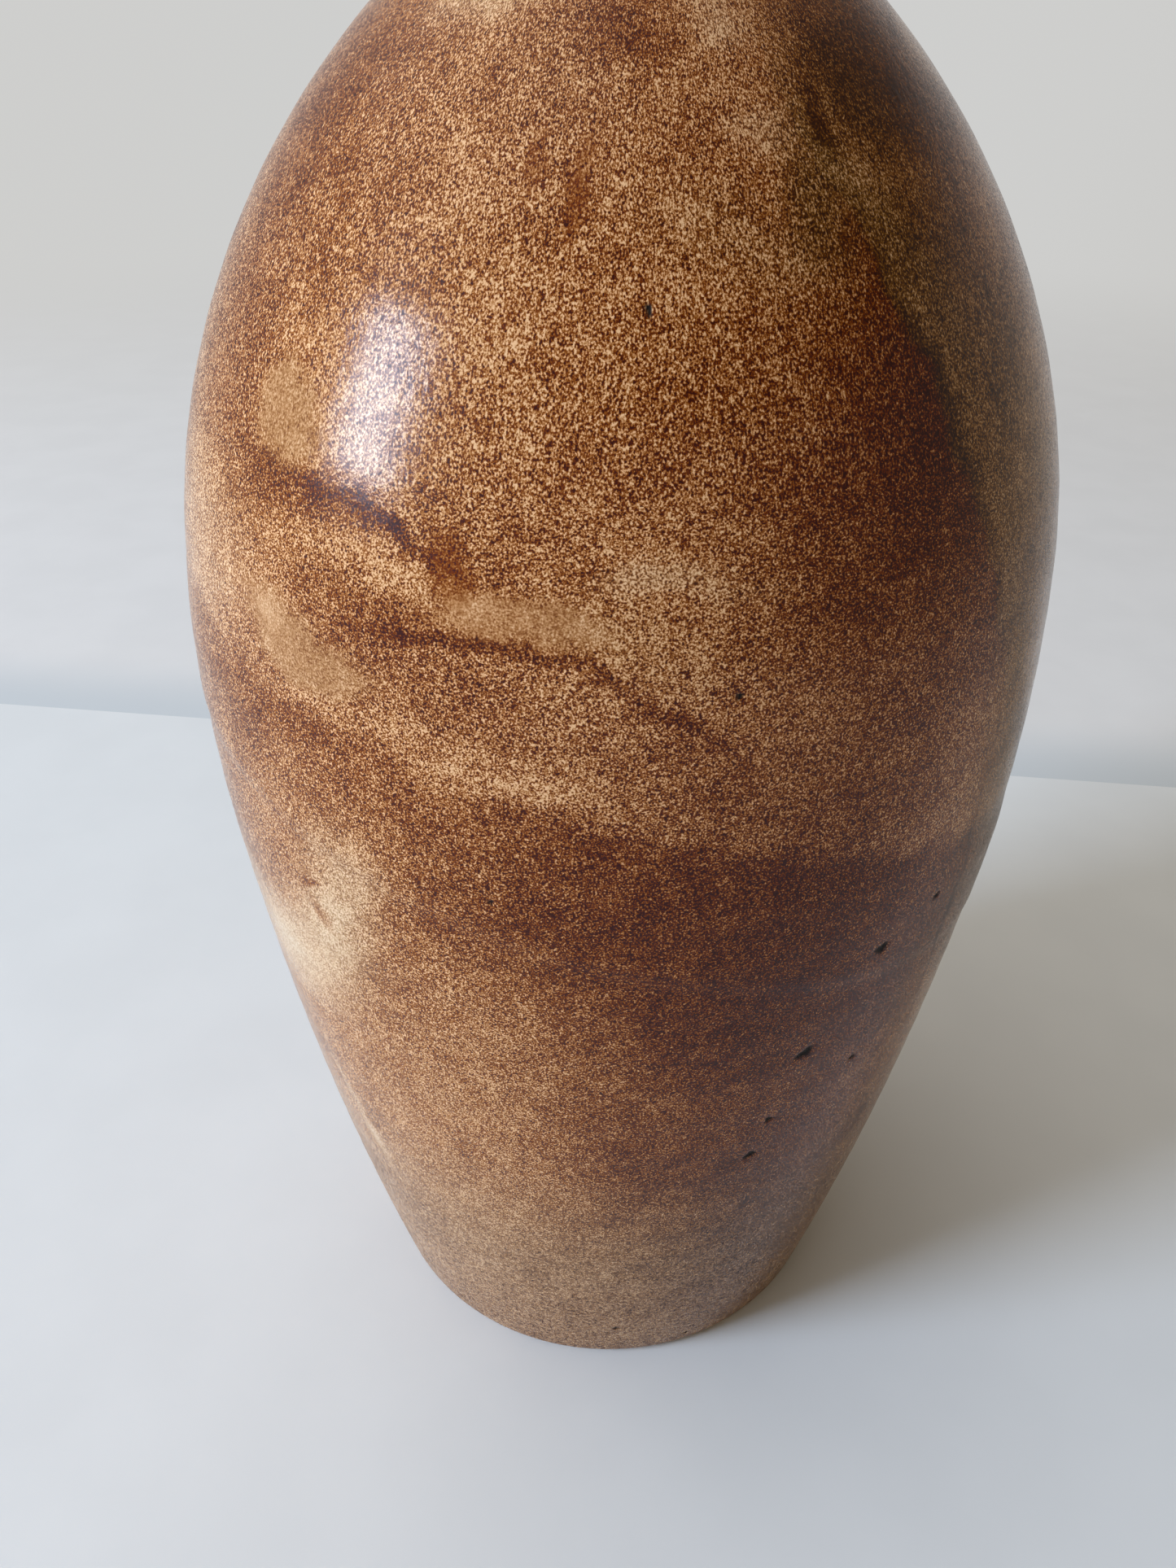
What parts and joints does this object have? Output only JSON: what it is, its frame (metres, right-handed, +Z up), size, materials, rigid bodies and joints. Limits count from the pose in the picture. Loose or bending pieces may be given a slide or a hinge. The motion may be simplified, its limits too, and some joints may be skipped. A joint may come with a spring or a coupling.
{
  "type": "stoneware vase",
  "caption": "Wheel-thrown stoneware bottle vase with a swelling body, short flared neck, turned foot ring and overlapping dipped glaze coats.",
  "frame": {"origin": "centre of the foot ring on its bearing face, on the surface that the vase stands on", "axes": "+Z up along the vase's axis of turning; the glaze coats' leaning edges are lowest towards +X and the side seen from -Y is the front"},
  "size_m": [0.1502, 0.1506, 0.3003],
  "materials": {
    "stoneware_clay": "fired, unglazed and matt",
    "liner_glaze": "satin",
    "upper_glaze": "satin, speckled tan",
    "lower_glaze": "satin, speckled brown"
  },
  "bodies": {
    "root": {"clay_body": "stoneware_clay", "liner_glaze": "liner_glaze", "upper_glaze_coat": "upper_glaze", "lower_glaze_coat": "lower_glaze"}
  },
  "joints": []
}
